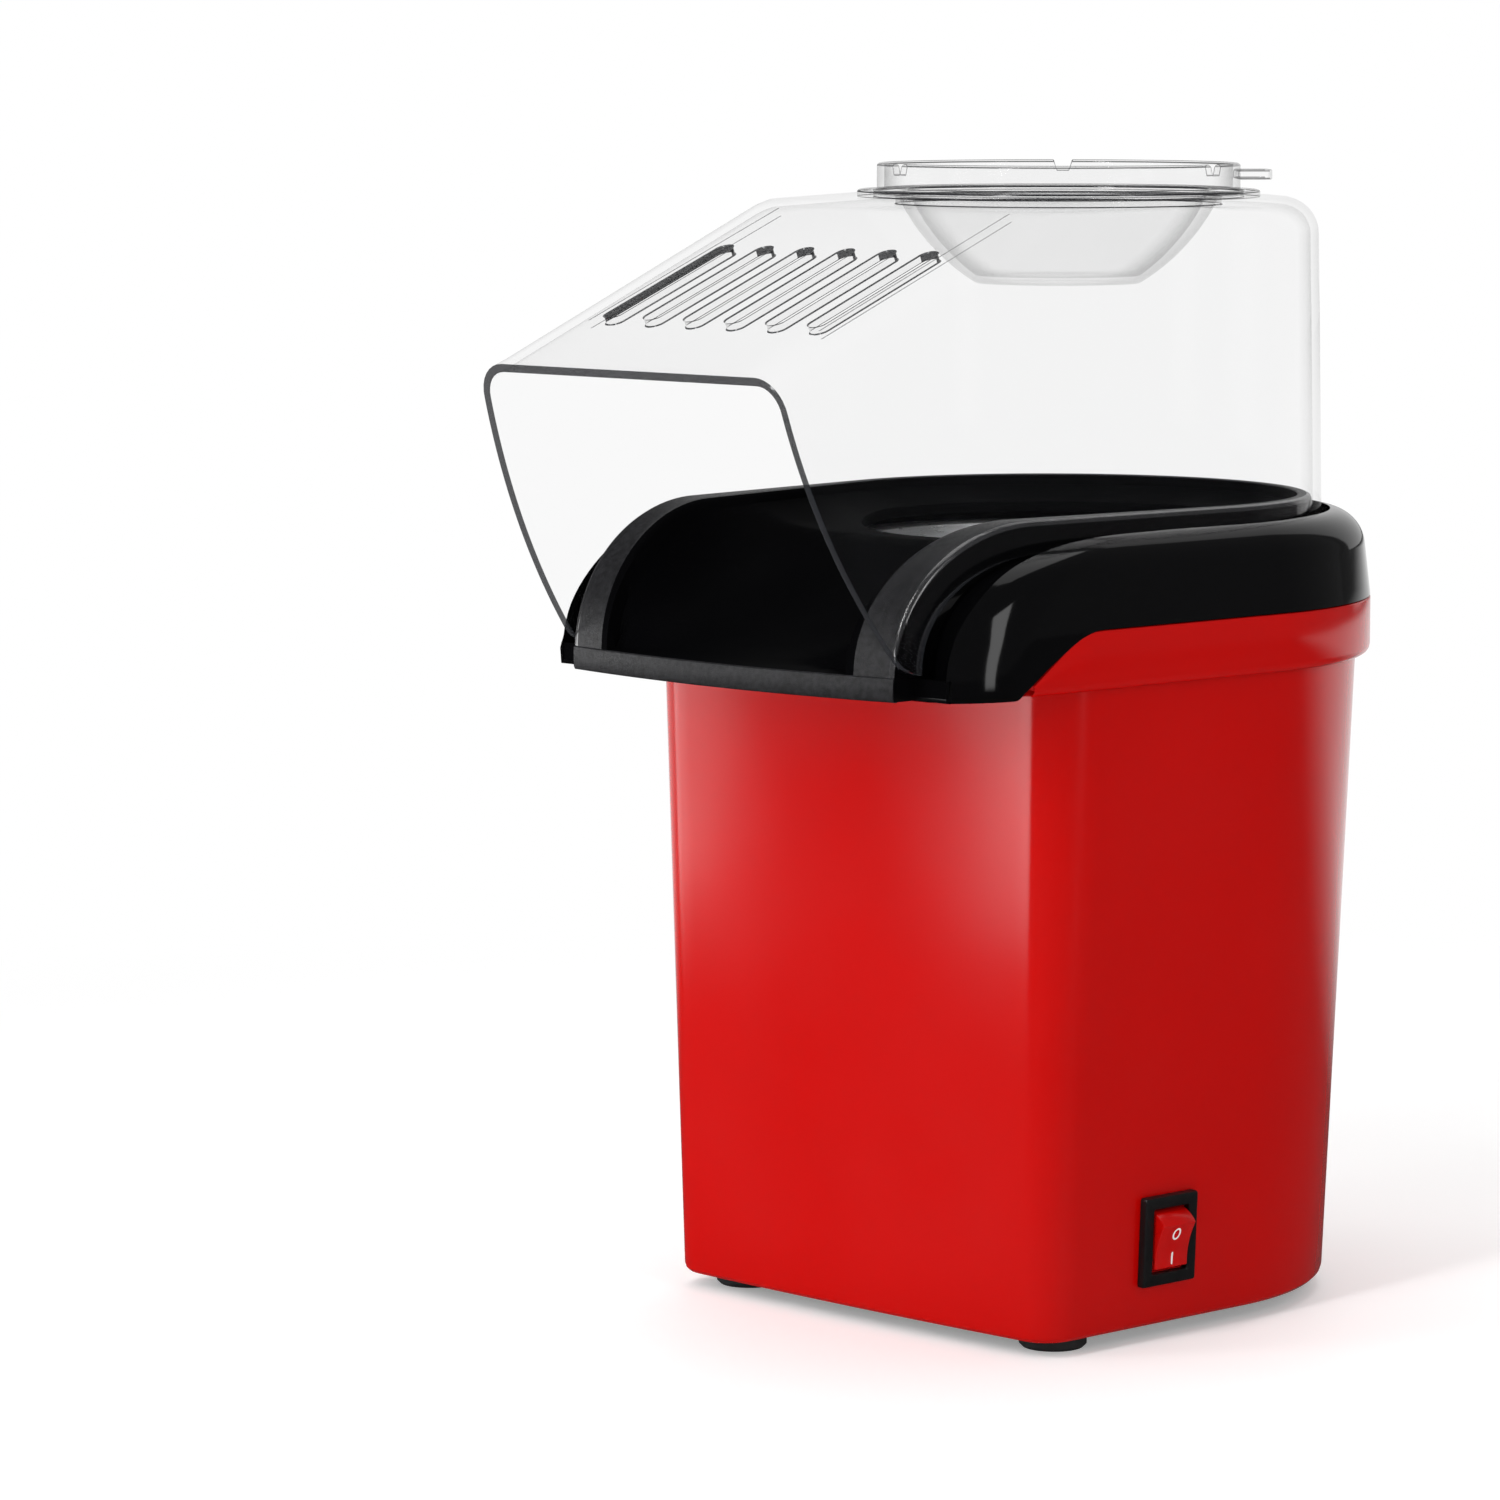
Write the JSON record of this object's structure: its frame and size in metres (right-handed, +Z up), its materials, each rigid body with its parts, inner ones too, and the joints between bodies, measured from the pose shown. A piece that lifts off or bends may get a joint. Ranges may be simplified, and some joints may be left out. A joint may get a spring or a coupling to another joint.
{
  "type": "popcorn maker",
  "caption": "Upright hot-air popcorn maker with a tapered housing, a grooved collar with a pouring chute, a clear lift-off hood with a spout, and a lift-out measuring cup.",
  "frame": {"origin": "middle of the footprint's box (across X, and from the mouth's edge to the back of the rim along Y), at the level of the feet's undersides", "axes": "+Z up; -Y is the pouring side; +X is the side with the switch; +Y is the back, where the cord's bushing is"},
  "size_m": [0.1528, 0.2234, 0.2752],
  "materials": {
    "red_plastic": "gloss",
    "black_gloss": "gloss",
    "clear_plastic": "clear, polished",
    "black_matte": "matte",
    "foot_rubber": "matte",
    "screw_steel": "bright zinc",
    "chamber_aluminium": "satin",
    "gasket_silicone": "matte",
    "duct_steel": "satin",
    "mica": "matte",
    "heater_wire": "dull",
    "ceramic": "matte",
    "case_plastic": "matte",
    "motor_steel": "satin",
    "nylon": "satin",
    "terminal_brass": "plain",
    "board_green": "satin",
    "diode_black": "gloss",
    "shaft_steel": "ground",
    "rocker_red": "gloss"
  },
  "bodies": {
    "base_unit": {"housing": "red_plastic", "base_plate": "black_matte", "feet": "foot_rubber", "base_screws": "screw_steel", "collar": "black_gloss", "collar_screws": "screw_steel", "popping_chamber": "chamber_aluminium", "chamber_gasket": "gasket_silicone", "heater_duct": "duct_steel", "mica_former": "mica", "heating_coil": "heater_wire", "heater_ring": "duct_steel", "thermostat": "ceramic", "thermal_fuse": "ceramic", "fan_case": "case_plastic", "case_screws": "screw_steel", "motor_can": "motor_steel", "motor_end_cap": "nylon", "motor_screws": "screw_steel", "motor_terminals": "terminal_brass", "rectifier_board": "board_green", "rectifier_diodes": "diode_black", "switch_body": "black_matte", "switch_terminals": "terminal_brass", "rocker_pin": "shaft_steel", "cord_bushing": "black_matte"},
    "rotor": {"motor_shaft": "shaft_steel", "fan": "nylon", "fan_nut": "terminal_brass"},
    "rocker_body": {"rocker": "rocker_red"},
    "hood_body": {"hood": "clear_plastic"},
    "cup_body": {"measuring_cup": "clear_plastic"}
  },
  "joints": [
    {"name": "hood_lift", "type": "slide", "parent": "base_unit", "child": "hood_body", "axis": [0, 0, 1], "range_m": [0, 0.12]},
    {"name": "cup_lift", "type": "slide", "parent": "hood_body", "child": "cup_body", "axis": [0, 0, 1], "range_m": [0, 0.06]},
    {"name": "fan_spin", "type": "hinge", "parent": "base_unit", "child": "rotor", "pos_m": [0, 0.03525, 0.06], "axis": [0, 0, 1], "continuous": true},
    {"name": "rocker_tilt", "type": "hinge", "parent": "base_unit", "child": "rocker_body", "pos_m": [0.06402, 0.00183, 0.02455], "axis": [-0.0698, -0.9976, 0], "range_deg": [0, 26]}
  ]
}
